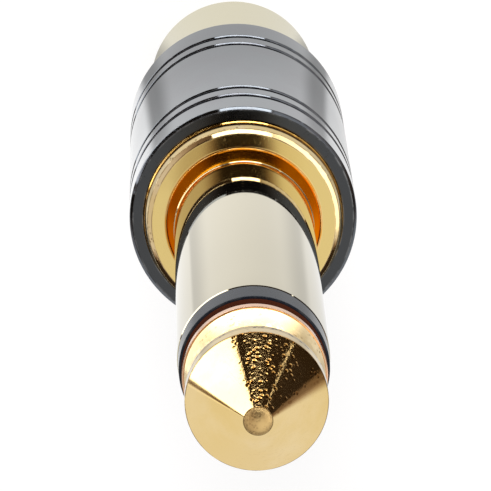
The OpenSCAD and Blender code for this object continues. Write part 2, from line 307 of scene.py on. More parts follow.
class Recipe:
    """Small helper that adds and links shader nodes in one tree."""

    columns = 12
    column_width = 190
    row_height = 260

    def __init__(self, tree: Tree) -> None:
        """Keeps the tree that the nodes go into."""
        self.tree = tree
        self.place = 0

    def add(self, kind: str, **settings: object) -> Node:
        """Adds a node.

        Args:
            kind: Its type, without the leading ShaderNode.
            **settings: Properties of the node to set.

        Returns:
            The new node.
        """
        node = self.tree.nodes.new("ShaderNode" + kind)
        for key, value in settings.items():
            setattr(node, key, value)
        self.place += 1
        row, column = divmod(self.place, self.columns)
        node.location = (column * self.column_width, -row * self.row_height)
        return node

    def join(self, source: object, target: Port) -> None:
        """Links a socket to another, or sets a plain value on it.

        Args:
            source: An output socket or a plain value.
            target: The input socket.
        """
        if isinstance(source, Port):
            self.tree.links.new(source, target)
        else:
            target.default_value = source

    def fill(self, node: Node, places: tuple[int | str, ...], parts: tuple[object, ...]) -> Node:
        """Joins several values or sockets to a node.

        Args:
            node: The node.
            places: Numbers or names of its inputs.
            parts: What goes into each.

        Returns:
            The same node.
        """
        for place, part in zip(places, parts):
            self.join(part, node.inputs[place])
        return node

    def math(self, operation: str, first: object, second: object = 0.0, clamp: bool = False) -> Port:
        """Returns the result of a Math node, kept from 0 to 1 if clamp is set."""
        node = self.add("Math", operation=operation, use_clamp=clamp)
        return self.fill(node, (0, 1), (first, second)).outputs[0]

    def plus(self, first: object, second: object, clamp: bool = False) -> Port:
        """Returns the sum of two values or sockets."""
        return self.math("ADD", first, second, clamp)

    def times(self, first: object, second: object, clamp: bool = False) -> Port:
        """Returns the product of two values or sockets."""
        return self.math("MULTIPLY", first, second, clamp)

    def flat_length(self, across: Port, deep: Port) -> Port:
        """Returns how long a flat direction is."""
        return self.math("SQRT", self.plus(self.times(across, across), self.times(deep, deep)))

    def azimuth(self, across: Port, deep: Port) -> Port:
        """Returns a direction round the adapter from the camera's side, in degrees."""
        around = self.math("ARCTAN2", self.times(across, -1.0), self.times(deep, -1.0))
        return self.times(around, math.degrees(1))

    def ramp(self, value: object, low: object, high: object, start: float = 0.0, end: float = 1.0) -> Port:
        """Returns a smooth step, which goes from start to end while the value goes from low to high."""
        node = self.add("MapRange", interpolation_type="SMOOTHSTEP")
        return self.fill(node, (0, 1, 2, 3, 4), (value, low, high, start, end)).outputs[0]

    def window(self, value: Port, low: float, high: float, soft: float) -> Port:
        """Returns 1 from low to high and 0 elsewhere, with soft ends."""
        start = self.ramp(value, low - soft, low + soft)
        return self.times(start, self.ramp(value, high - soft, high + soft, 1.0, 0.0))

    def between(self, mask: object, plain: object, masked: object) -> Port:
        """Returns the plain value, and the masked one where the mask is 1."""
        return self.fill(self.add("Mix", data_type="FLOAT"), (0, 2, 3), (mask, plain, masked)).outputs[0]

    def blend(self, factor: object, first: object, second: object) -> Port:
        """Returns the first colour with that much of the second."""
        return self.fill(self.add("Mix", data_type="RGBA"), (0, 6, 7), (factor, first, second)).outputs[2]

    def noise(self, vector: Port, scale: float, detail: float = 2.0, rough: float = 0.5) -> Port:
        """Returns a noise texture's value, round 0.5. Detail is its octaves and rough how strong the finer are."""
        places = ("Vector", "Scale", "Detail", "Roughness")
        return self.fill(self.add("TexNoise"), places, (vector, scale, detail, rough)).outputs[0]

    def where(self, kind: str = "Object") -> Port:
        """Returns the coordinates of that kind."""
        return self.add("TexCoord").outputs[kind]

    def scaled(self, scale: object) -> Port:
        """Returns the place on the object, scaled."""
        node = self.add("VectorMath", operation="SCALE")
        return self.fill(node, (0, "Scale"), (self.where(), scale)).outputs[0]

    def split(self, vector: Port) -> tuple[Port, ...]:
        """Returns the three parts of a vector."""
        return tuple(self.fill(self.add("SeparateXYZ"), (0,), (vector,)).outputs)

    def vector(self, *parts: object) -> Port:
        """Returns the vector that three parts make."""
        return self.fill(self.add("CombineXYZ"), (0, 1, 2), parts).outputs[0]

    def shaded(self, mask: Port, plain: Node, masked: Node) -> Node:
        """Returns a mix of two shaders, with the masked one where the mask is 1."""
        return self.fill(self.add("MixShader"), (0, 1, 2), (mask, plain.outputs[0], masked.outputs[0]))

    def effect(self, group: Tree, **values: object) -> Node:
        """Returns the node of a shared effect, with its inputs given by name and _ for a space."""
        names = tuple(name.replace("_", " ") for name in values)
        return self.fill(self.add("Group", node_tree=group), names, tuple(values.values()))


def new_group(name: str, inputs: dict[str, float], outputs: tuple[str, ...]) -> tuple[Recipe, Ports, Ports]:
    """Starts a shared effect.

    Args:
        name: Name of the group.
        inputs: Its inputs with their usual values.
        outputs: Its outputs.

    Returns:
        A recipe for the group's tree, the values given to it and the results that it hands out.
    """
    tree = bpy.data.node_groups.new(name, "ShaderNodeTree")
    for title, value in inputs.items():
        socket = tree.interface.new_socket(title, in_out="INPUT", socket_type="NodeSocketFloat")
        socket.default_value = value
    for title in outputs:
        tree.interface.new_socket(title, in_out="OUTPUT", socket_type="NodeSocketFloat")
    given, out = tree.nodes.new("NodeGroupInput"), tree.nodes.new("NodeGroupOutput")
    return Recipe(tree), given.outputs, out.inputs


class Effects:
    """The effects that several finishes share, each built once."""

    least_radius = MM * 0.01
    bare_fade = 0.18
    grain_height = 0.35

    def __init__(self) -> None:
        """Builds the groups."""
        self.turning = self._turning()
        self.hairlines = self._hairlines()
        self.pits = self._pits()
        self.smears = self._smears()

    def _round_place(self, recipe: Recipe) -> tuple[Port, Port, Port, Port]:
        """Works out a point's place on a turned surface.

        Args:
            recipe: The tree to work in.

        Returns:
            Radius plus level and level alone, in millimetres, and the two parts of its direction from the axis.
        """
        across, deep, level = recipe.split(recipe.where())
        radius = recipe.flat_length(across, deep)
        safe = recipe.math("MAXIMUM", radius, self.least_radius)
        along = recipe.times(recipe.plus(level, radius), PER_MM)
        east, north = recipe.math("DIVIDE", across, safe), recipe.math("DIVIDE", deep, safe)
        return along, recipe.times(level, PER_MM), east, north

    def _turning(self) -> Tree:
        """Returns lathe marks: fine rings round the axis, uneven from ring to ring."""
        recipe, given, out = new_group("turning_marks", {"Rings per mm": 12.0, "Waver": 1.5}, ("Height",))
        along, _, east, north = self._round_place(recipe)
        fine = recipe.times(along, given["Rings per mm"])
        spot = recipe.vector(fine, recipe.times(east, given["Waver"]), recipe.times(north, given["Waver"]))
        recipe.join(recipe.noise(spot, scale=1.0, detail=3.0, rough=0.6), out["Height"])
        return recipe.tree

    def _hairlines(self) -> Tree:
        """Returns hairline scratches along the piece, as a handled plug gets."""
        usual = {"Across": 9.0, "Along": 0.5, "Lean": 0.15}
        recipe, given, out = new_group("hairlines", usual, ("Height", "Mask"))
        along, level, east, north = self._round_place(recipe)
        lean = recipe.plus(recipe.math("ARCTAN2", north, east), recipe.times(level, given["Lean"]))
        sides = [recipe.times(recipe.math(kind, lean), given["Across"]) for kind in ("COSINE", "SINE")]
        spot = recipe.vector(*sides, recipe.times(along, given["Along"]))
        line = recipe.ramp(recipe.noise(spot, scale=4.0, detail=3.0, rough=0.7), low=0.62, high=0.68)
        patch = recipe.ramp(recipe.noise(recipe.where(), scale=0.35 * PER_MM, detail=1.0), low=0.4, high=0.65)
        shown = recipe.times(line, patch)
        recipe.join(shown, out["Mask"])
        recipe.join(recipe.times(shown, -1.0), out["Height"])
        return recipe.tree

    def _pits(self) -> Tree:
        """Returns the small pits and grains that show in plating."""
        usual = {"Per mm": 6.0, "Amount": 0.5, "Bare": 0.3}
        recipe, given, out = new_group("plating_pits", usual, ("Height", "Mask"))
        spot = recipe.scaled(recipe.times(given["Per mm"], PER_MM))
        cells = recipe.fill(recipe.add("TexVoronoi"), ("Vector", "Scale"), (spot, 1.0))
        pit = recipe.ramp(cells.outputs["Distance"], low=0.12, high=0.42, start=1.0, end=0.0)
        bare = given["Bare"]
        patch = recipe.ramp(recipe.noise(spot, scale=0.22, detail=1.0), bare, recipe.plus(bare, self.bare_fade))
        pit = recipe.times(recipe.times(pit, patch), given["Amount"])
        grain = recipe.times(recipe.noise(spot, scale=1.7), self.grain_height)
        recipe.join(recipe.math("SUBTRACT", grain, pit), out["Height"])
        recipe.join(pit, out["Mask"])
        return recipe.tree

    @staticmethod
    def _smears() -> Tree:
        """Returns soft patches of handling, such as a fingertip leaves."""
        recipe, given, out = new_group("smears", {"Size mm": 2.6}, ("Mask",))
        spot = recipe.scaled(recipe.math("DIVIDE", PER_MM, given["Size mm"]))
        patches = recipe.noise(spot, scale=1.0, detail=4.0, rough=0.6)
        recipe.join(recipe.ramp(patches, low=0.38, high=0.7), out["Mask"])
        return recipe.tree


@dataclass(frozen=True)
class Finish:
    """A finish that any piece can wear: colours, gloss and the size of its marks."""

    name: str
    colour: Colour
    worn_colour: Colour
    metallic: float = 1.0
    roughness: float = 0.1
    worn_roughness: float = 0.25
    smeared_share: float = 0.5
    stretch: float = 0.0
    stretch_turn: float = 0.25
    ring_depth: float = 0.0003
    scratch_depth: float = 0.0004
    pit_depth: float = 0.0
    pits_per_mm: float = 6.0
    pits_bare: float = 0.3
    pits_and_shade_on_side: bool = False
    stain: float = 0.0
    # Painted shade laid flat over the finish, within the marked side where there is one, in the stain colour
    painted_shade: float = 0.0
    stain_and_shade_colour: Colour = (0.50, 0.245, 0.055)
    patches_per_mm: float = 1.6
    worn_from: float = 0.42
    worn_fade: float = 0.2
    wear: float = 0.5
    shine: float = 0.5
    glint: Colour = WHITE_LIGHT
    tint: Colour | None = None
    tint_share: float = 0.6

    def build(self, effects: Effects) -> Material:
        """Makes the material.

        Args:
            effects: The shared effects.

        Returns:
            The new material.
        """
        material = bpy.data.materials.new(self.name)
        material.use_nodes = True
        shader = material.node_tree.nodes["Principled BSDF"]
        recipe = Recipe(material.node_tree)
        smears = recipe.effect(effects.smears).outputs["Mask"]
        turning = recipe.effect(effects.turning).outputs["Height"]
        hairlines = recipe.effect(effects.hairlines).outputs
        worn = self._worn(recipe)
        colour: object = opaque(self.colour)
        if self.tint:
            colour = recipe.blend(recipe.times(smears, self.tint_share), colour, opaque(self.tint))
        colour = recipe.blend(worn, colour, opaque(self.worn_colour))
        gloss = recipe.plus(self.roughness, recipe.times(smears, self.roughness * self.smeared_share))
        gloss = recipe.plus(gloss, recipe.times(hairlines["Mask"], self.roughness))
        gloss = recipe.plus(gloss, recipe.times(worn, self.worn_roughness - self.roughness), clamp=True)
        height = recipe.times(turning, self.ring_depth)
        height = recipe.plus(height, recipe.times(hairlines["Height"], self.scratch_depth))
        if self.pit_depth:
            pits = recipe.effect(effects.pits, Per_mm=self.pits_per_mm, Bare=self.pits_bare).outputs
            side = self._grain_and_shade_side(recipe) if self.pits_and_shade_on_side else 1.0
            # Stain darkens the pits, and a flat painted shade goes over the whole marked side
            if self.stain:
                stain = recipe.plus(recipe.times(pits["Mask"], self.stain), self.painted_shade)
                colour = recipe.blend(recipe.times(stain, side, clamp=True), colour, opaque(self.stain_and_shade_colour))
            height = recipe.plus(height, recipe.times(pits["Height"], recipe.times(side, self.pit_depth)))
        bump = recipe.fill(recipe.add("Bump"), ("Strength", "Distance", "Height"), (1.0, MM, height))
        places = ("Normal", "Base Color", "Roughness", "Metallic")
        recipe.fill(shader, places, (bump.outputs[0], colour, gloss, self.metallic))
        shader.inputs["Specular IOR Level"].default_value = self.shine
        shader.inputs["Specular Tint"].default_value = opaque(self.glint)
        if self.stretch:
            shader.inputs["Anisotropic"].default_value = self.stretch
            shader.inputs["Anisotropic Rotation"].default_value = self.stretch_turn
            tangent = recipe.add("Tangent", direction_type="RADIAL", axis="Z")
            recipe.join(tangent.outputs[0], shader.inputs["Tangent"])
        return material

    def _worn(self, recipe: Recipe) -> Port:
        """Marks the worn patches of the rounded edges.

        Args:
            recipe: The material's tree.

        Returns:
            How worn a point is.
        """
        edge = recipe.add("Attribute", attribute_name=EDGE_ATTRIBUTE).outputs["Fac"]
        patchy = recipe.noise(recipe.where(), scale=self.patches_per_mm * PER_MM, detail=3.0, rough=0.65)
        return recipe.times(edge, recipe.ramp(patchy, self.worn_from, self.worn_from + self.worn_fade, 0.0, self.wear))

    @staticmethod
    def _grain_and_shade_side(recipe: Recipe) -> Port:
        """Marks the side of the tip, towards the camera, whose plating is grained and gets painted shade.

        Args:
            recipe: The material's tree.

        Returns:
            How strong the grains and the painted shade are.
        """
        across, deep, _ = recipe.split(recipe.where("Normal"))
        side = recipe.times(recipe.ramp(deep, *GRAIN_AND_SHADE_FRONT), recipe.ramp(across, *GRAIN_AND_SHADE_RIGHT))
        return recipe.times(side, recipe.ramp(across, *GRAIN_AND_SHADE_LEFT))


FINISHES = (
    # The tip: grains and stained pits, with painted shade over its side towards the camera
    Finish(
        "gold_plating", (0.90, 0.66, 0.275), (0.16, 0.09, 0.03), roughness=0.07, pit_depth=0.017, pits_per_mm=4.0,
        pits_bare=0.05, pits_and_shade_on_side=True, stain=2.6, painted_shade=0.45, worn_from=0.3, wear=0.9, tint=(0.97, 0.76, 0.42),
    ),
    Finish(
        "gold_smooth", (0.92, 0.70, 0.34), (0.36, 0.24, 0.10), roughness=0.03, pit_depth=0.0015, pits_per_mm=5.0,
        pits_bare=0.5, stain=2.0, stain_and_shade_colour=(0.36, 0.24, 0.10), worn_from=0.34, wear=0.85,
        tint=(0.95, 0.80, 0.55),
    ),
    # Foot of the tip's band: dark specks in pits plus a near-black painted shade over the whole band
    Finish(
        "gold_specks_and_painted_shade", (0.92, 0.70, 0.34), (0.16, 0.09, 0.03), roughness=0.05, pit_depth=0.003, pits_per_mm=4.5,
        pits_bare=0.22, stain=4.0, painted_shade=0.3, stain_and_shade_colour=(0.05, 0.025, 0.008),
    ),
    Finish("gold_rim", (0.92, 0.57, 0.37), (0.36, 0.24, 0.10), roughness=0.05),
    Finish(
        "gold_peened", (0.79, 0.545, 0.23), (0.45, 0.28, 0.12), roughness=0.3, pit_depth=0.011, stain=0.9,
        stain_and_shade_colour=(0.45, 0.28, 0.12),
    ),
    Finish("gold_bright", (0.95, 0.56, 0.14), (0.85, 0.62, 0.30), roughness=0.08),
    # The hub: gold with a painted deep orange reflection of the gold round it, in its colour and edge tint
    Finish("gold_painted_interreflection", (0.83, 0.37, 0.055), (0.85, 0.62, 0.30), roughness=0.08, glint=(0.92, 0.45, 0.07)),
    Finish("gold_turned", (0.86, 0.65, 0.25), (0.85, 0.62, 0.30), stretch=0.75, ring_depth=0.0004),
    Finish(
        "gold_pale", (0.64, 0.58, 0.42), (0.80, 0.70, 0.45), roughness=0.02, ring_depth=0.00003,
        scratch_depth=0.0001,
    ),
    Finish("gold_barrel", (0.84, 0.76, 0.49), (0.80, 0.70, 0.45)),
    Finish(
        "dark_chrome", (0.143, 0.158, 0.175), (0.35, 0.35, 0.36), roughness=0.065, stretch=0.6,
        tint=(0.135, 0.132, 0.152),
    ),
    Finish("dark_chrome_face", (0.072, 0.075, 0.078), (0.3, 0.3, 0.3), roughness=0.16, stretch=0.6),
    Finish(
        "black_plastic", (0.008, 0.011, 0.018), (0.05, 0.05, 0.05), metallic=0.0, shine=0.16,
        glint=(0.86, 0.95, 1.0),
    ),
    # Front face of the ring: black plastic with a painted warm reflection of the gold tip
    Finish("black_plastic_painted_gold_reflection", (0.075, 0.022, 0.011), (0.05, 0.05, 0.05), metallic=0.0, shine=0.1),
    Finish("white_plastic", (0.8, 0.78, 0.72), (0.7, 0.68, 0.62), metallic=0.0, roughness=0.4),
    Finish("tinned_copper", (0.75, 0.76, 0.77), (0.6, 0.6, 0.6), roughness=0.3),
)


@dataclass(frozen=True)
class Zone:
    """Facets that wear a finish of their own: their middle lies in these levels and radii, in millimetres."""

    look: str
    low: float = -math.inf
    high: float = math.inf
    within: float = math.inf


class Wardrobe:
    """Every finish as a material, made once."""

    def __init__(self) -> None:
        """Builds the materials."""
        effects = Effects()
        self.made = {look.name: look.build(effects) for look in FINISHES}

    def dress(self, piece: Piece, look: str, *zones: Zone) -> Piece:
        """Gives a piece its finishes.

        Args:
            piece: The object.
            look: Its finish outside the zones.
            *zones: Its zones, each painted over those before it.

        Returns:
            The same object.
        """
        piece.data.materials.clear()
        piece.data.materials.append(self.made[look])
        for index, zone in enumerate(zones, 1):
            piece.data.materials.append(self.made[zone.look])
            for facet in piece.data.polygons:
                radius, level = facet.center.xy.length / MM, facet.center.z / MM
                if zone.low < level < zone.high and radius < zone.within:
                    facet.material_index = index
        return piece


@dataclass
class Plug:
    """The jack plug: tip, rod, ring, and the sleeve with its hub and flange."""

    rod_radius: float = 1.1
    rod_hole: float = 1.13
    button_radius: float = 0.57
    tenon_radius: float = 0.5
    tenon_hole: float = 0.51
    tenon_length: float = 2.2
    nose_radius: float = 0.59
    cone_length: float = 2.81
    cone_radius: float = 2.915
    land_length: float = 0.94
    specks_and_shade_length: float = 0.36
    cone_overlap: float = 0.05
    back_length: float = 1.0
    waist_radius: float = 2.35
    waist_hollow: float = 0.4
    slope_length: float = 1.65
    rim_length: float = 0.5
    rim_step: float = 0.06
    rivet_radius: float = 1.6
    rivet_height: float = 0.7
    rivet_crown: float = 0.56
    button_height: float = 0.25
    button_crown: float = 0.2
    socket_radius: float = 2.45
    press_gap: float = 0.01
    ring_draft: float = 0.03
    ring_length: float = 1.5
    seat_gap: float = 0.03
    neck_radius: float = 2.6
    black_width: float = 0.11
    sleeve_radius: float = 3.175
    sleeve_length: float = 21.6
    sleeve_bevel: float = 0.06
    sleeve_bevel_height: float = 0.074
    bore_radius: float = 1.9
    socket_length: float = 4.5
    hub_length: float = 1.2
    hub_front: float = 3.205
    hub_step: float = 0.03
    hub_base: float = 3.515
    hub_fillet: float = 0.1
    pale_overlap: float = 0.02
    flange_radius: float = 4.5
    flange_rise: float = 1.0
    flange_bevel: float = 0.21
    flange_bevel_height: float = 0.14
    flange_ease: float = 0.11
    flange_ease_height: float = 0.3
    lip_bevel: float = 0.05

    def build(self, looks: Wardrobe) -> list[Piece]:
        """Returns the four dressed pieces."""
        return [self.tip(looks), self.rod(looks), self.ring(looks), self.sleeve(looks)]

    def tip(self, looks: Wardrobe) -> Piece:
        """Returns the tip: cone, plain band, hollow waist, long slope and rim."""
        span = Span.of("tip")
        rim_top = span.bottom + self.rim_length
        waist = rim_top + self.slope_length
        land = waist + self.back_length
        base = land + self.land_length
        shoulder = span.top - self.tenon_length
        piece = turn_piece(
            "turned_tip",
            (self.rod_hole, span.bottom),
            (span.radius, span.bottom, SOFT),
            (span.radius, rim_top, LIGHT),
            (span.radius - self.rim_step, rim_top),
            (self.waist_radius, waist, self.waist_hollow),
            (self.cone_radius, land, EDGE),
            (self.cone_radius, land + self.specks_and_shade_length),
            (self.cone_radius, base, BROAD),
            (self.nose_radius, span.top, EDGE),
            (self.tenon_hole, span.top, HAIR),
            (self.tenon_hole, shoulder),
            (self.rod_hole, shoulder),
        )
        looks.dress(
            piece, "gold_plating",
            Zone("gold_smooth", high=base - self.cone_overlap),
            Zone("gold_rim", high=rim_top),
            # A narrow band at the foot of the land gets the dark specks and the painted shade
            Zone("gold_specks_and_painted_shade", land, land + self.specks_and_shade_length),
        )
        return finish_piece(piece, Slot.GOLD, "tip")

    def rod(self, looks: Wardrobe) -> Piece:
        """Returns the rod with its peened button at the nose and its riveted head."""
        span = Span.of("centre_rod")
        nose = span.top - self.button_height
        tag = span.bottom + self.rivet_height
        piece = turn_piece(
            "peened_rod",
            *reversed(dome(self.rivet_radius, span.bottom + self.rivet_crown, span.bottom)),
            (self.rivet_radius, tag, LIGHT),
            (self.rod_radius, tag),
            (self.rod_radius, nose - self.tenon_length),
            (self.tenon_radius, nose - self.tenon_length),
            (self.tenon_radius, nose),
            (self.button_radius, nose, HAIR),
            *dome(self.button_radius, span.top - self.button_crown, span.top),
            closed=False,
        )
        looks.dress(piece, "gold_peened")
        return finish_piece(piece, Slot.GOLD, "centre_rod")

    def ring(self, looks: Wardrobe) -> Piece:
        """Returns the black ring with its neck and its spigot; its front face has a painted reflection of the gold
        tip.
        """
        span = Span.of("tip_ring")
        seat = span.bottom + self.socket_length - self.seat_gap
        top = seat + self.ring_length
        front = span.radius - self.ring_draft
        piece = turn_piece(
            "moulded_ring",
            (self.rod_hole, span.bottom),
            (self.socket_radius - self.press_gap, span.bottom),
            (self.socket_radius - self.press_gap, seat),
            (span.radius, seat, HAIR),
            (front, top, SOFT),
            (front - self.black_width, top),
            (self.neck_radius, top),
            (self.neck_radius, span.top),
            (self.rod_hole, span.top),
        )
        # The front face takes the painted reflection of the gold tip
        face = Zone("black_plastic_painted_gold_reflection", low=top - FACE_SLACK, within=front - self.black_width)
        looks.dress(piece, "black_plastic", face)
        return finish_piece(piece, Slot.BLACK, "tip_ring")

    def sleeve(self, looks: Wardrobe) -> Piece:
        """Returns the sleeve with its hub, its flange and the body that the shell holds."""
        span = Span.of("sleeve")
        hub_top = span.top - self.sleeve_length
        face = hub_top - self.hub_length
        mouth = face - self.flange_rise
        bevel_foot = face - self.flange_bevel_height - self.flange_ease_height
        piece = turn_piece(
            "plated_sleeve",
            (self.bore_radius, span.bottom),
            (span.radius, span.bottom, BROAD),
            (span.radius, mouth, FINE),
            (self.flange_radius, mouth + self.lip_bevel, FINE),
            (self.flange_radius, bevel_foot, EDGE),
            (self.flange_radius - self.flange_ease, face - self.flange_bevel_height, EDGE),
            (self.flange_radius - self.flange_ease - self.flange_bevel, face, EDGE),
            (self.hub_base, face, self.hub_fillet),
            (self.hub_front, hub_top - self.hub_step, FINE),
            (self.sleeve_radius, hub_top, FINE),
            (self.sleeve_radius, span.top - self.sleeve_bevel_height),
            (self.sleeve_radius - self.sleeve_bevel, span.top),
            (self.socket_radius, span.top, FINE),
            (self.socket_radius, span.top - self.socket_length),
            (self.bore_radius, span.top - self.socket_length),
        )
        looks.dress(
            piece, "gold_bright",
            # The hub between the flange face and the sleeve takes the painted orange reflection
            Zone("gold_painted_interreflection", face, hub_top - self.hub_step),
            Zone("gold_smooth", bevel_foot, face),
            Zone("gold_turned", face - LEVEL_SLACK, face + LEVEL_SLACK),
            Zone("gold_pale", low=hub_top - self.pale_overlap),
        )
        return finish_piece(piece, Slot.GOLD, "sleeve")


@dataclass
class Case:
    """The dark shell with its two pairs of grooves."""

    mouth_radius: float = 4.56
    seat_radius: float = 4.41
    lip_thickness: float = 1.4
    lip_hole: float = 4.16
    lip_hole_inner: float = 4.21
    mouth_bevel: float = 0.14
    rear_round: float = 0.8
    groove_width: float = 0.6
    groove_depth: float = 0.2
    groove_bevel: float = 0.07
    groove_levels: tuple[float, ...] = (3.65, 5.28, 14.57, 16.2)

    def build(self, looks: Wardrobe) -> list[Piece]:
        """Returns the dressed shell.

        Args:
            looks: The materials.
        """
        span = Span.of("shell")
        body = Span.of("sleeve").bottom
        lip = span.bottom + self.lip_thickness
        corners = [
            (self.lip_hole, span.bottom),
            (span.radius, span.bottom, self.rear_round),
        ]
        for level in self.groove_levels:
            low = span.bottom + level - self.groove_width / 2
            high = low + self.groove_width
            corners += [
                (span.radius, low - self.groove_bevel, FINE),
                (span.radius - self.groove_bevel, low, FINE),
                (span.radius - self.groove_depth, low, SOFT),
                (span.radius - self.groove_depth, high, SOFT),
                (span.radius, high, EASED),
            ]
        corners += [
            (span.radius, span.top - self.mouth_bevel, EDGE),
            (span.radius - self.mouth_bevel, span.top, EDGE),
            (self.mouth_radius, span.top, EDGE),
            (self.mouth_radius, body),
            (self.seat_radius, body),
            (self.seat_radius, lip),
            (self.lip_hole_inner, lip),
        ]
        piece = turn_piece("grooved_shell", *corners)
        looks.dress(piece, "dark_chrome", Zone("dark_chrome_face", low=span.top - FACE_SLACK))
        return [finish_piece(piece, Slot.CHROME, "shell")]


@dataclass
class Socket:
    """The phono socket: barrel and insert, with the slotted contact left as the solid gives it."""

    barrel_radius: float = 4.15
    barrel_length: float = 9.6
    barrel_bore: float = 3.4
    outer_bevel: float = 0.2
    inner_bevel: float = 0.15
    held_radius: float = 4.2
    lip_thickness: float = 1.4
    collar_radius: float = 4.4
    ledge_radius: float = 2.9
    ledge_thickness: float = 1.4
    entry_radius: float = 1.8
    entry_cone: float = 0.5
    front_wall: float = 1.0
    contact_hole: float = 2.03
    gap: float = 0.01
    slide: float = 0.03

    def build(self, looks: Wardrobe) -> list[Piece]:
        """Returns the dressed barrel and insert."""
        return [self.barrel(looks), self.insert(looks)]

    def barrel(self, looks: Wardrobe) -> Piece:
        """Returns the barrel with its bevelled mouth."""
        span = Span.of("phono_barrel")
        collar = span.bottom + self.barrel_length + self.lip_thickness
        piece = turn_piece(
            "plated_barrel",
            (self.barrel_bore + self.inner_bevel, span.bottom, EDGE),
            (self.barrel_radius - self.outer_bevel, span.bottom, EASED),
            (self.barrel_radius, span.bottom + self.outer_bevel, BROAD),
            (self.barrel_radius, span.bottom + self.barrel_length),
            (self.held_radius, collar),
            (self.collar_radius, collar, LIGHT),
            (self.collar_radius, span.top, LIGHT),
            (self.ledge_radius, span.top, LIGHT),
            (self.ledge_radius, span.top - self.ledge_thickness),
            (self.barrel_bore, span.top - self.ledge_thickness),
            (self.barrel_bore, span.bottom + self.inner_bevel, EDGE),
        )
        looks.dress(piece, "gold_barrel")
        return finish_piece(piece, Slot.GOLD, "phono_barrel")

    def insert(self, looks: Wardrobe) -> Piece:
        """Returns the insulator with the entry for the pin."""
        span = Span.of("phono_insert")
        ledge = Span.of("phono_barrel").top - self.ledge_thickness
        outer = self.barrel_bore - self.gap
        piece = turn_piece(
            "moulded_insert",
            (self.entry_radius + self.entry_cone, span.bottom, EASED),
            (outer, span.bottom, SOFT),
            (outer, ledge),
            (self.ledge_radius - self.slide, ledge),
            (self.ledge_radius - self.slide, span.top, EDGE),
            (self.contact_hole, span.top),
            (self.contact_hole, span.bottom + self.front_wall),
            (self.entry_radius, span.bottom + self.front_wall),
            (self.entry_radius, span.bottom + self.entry_cone, SOFT),
        )
        looks.dress(piece, "black_plastic")
        return finish_piece(piece, Slot.BLACK, "phono_insert")


@dataclass
class InnerParts:
    """Nodes whose solids stay as they are and only take a finish."""

    finishes: tuple[tuple[str, str], ...] = (
        ("phono_contact", "gold_plating"),
        ("rod_liner", "white_plastic"),
        ("rear_bush", "black_plastic"),
        ("solder_tag", "tinned_copper"),
        ("link_wire", "tinned_copper"),
    )

    def build(self, looks: Wardrobe) -> list[Piece]:
        """Returns the dressed nodes."""
        return [looks.dress(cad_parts[node], look) for node, look in self.finishes]


@dataclass(frozen=True)
class Panel:
    """A soft box or a dark gap in the room, in degrees as seen from the adapter, and how bright it is."""

    left: float
    right: float
    low: float
    high: float
    soft: float
    level: float
    fade: float = 0.0


@dataclass(frozen=True)
class Step:
    """A soft step in the floor's painted light and shade, from where it starts to where the new level is reached."""

    start: float
    end: float
    level: float


